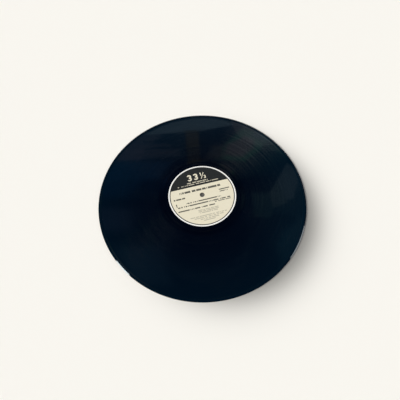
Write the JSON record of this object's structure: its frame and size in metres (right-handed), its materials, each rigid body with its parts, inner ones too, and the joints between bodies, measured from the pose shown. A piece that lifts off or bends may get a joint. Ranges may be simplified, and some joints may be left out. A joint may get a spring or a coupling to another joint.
{
  "type": "vinyl record",
  "caption": "Twelve-inch long-playing record: a grooved black vinyl disc with a raised rim and a spindle hole, and a printed paper label pressed into each side.",
  "frame": {"origin": "on the spindle hole's axis, level with the surface that the record lies on, side two down", "axes": "+Z along the spindle hole's axis, up out of side one; +X the way side one's label reads; +Y towards the label's dark segment"},
  "size_m": [0.3016, 0.3016, 0.0019],
  "materials": {
    "vinyl": "pressed gloss, grooved",
    "label_paper": "uncoated printed paper"
  },
  "bodies": {
    "root": {"vinyl_disc": "vinyl", "label_side_one": "label_paper", "label_side_two": "label_paper"}
  },
  "joints": []
}
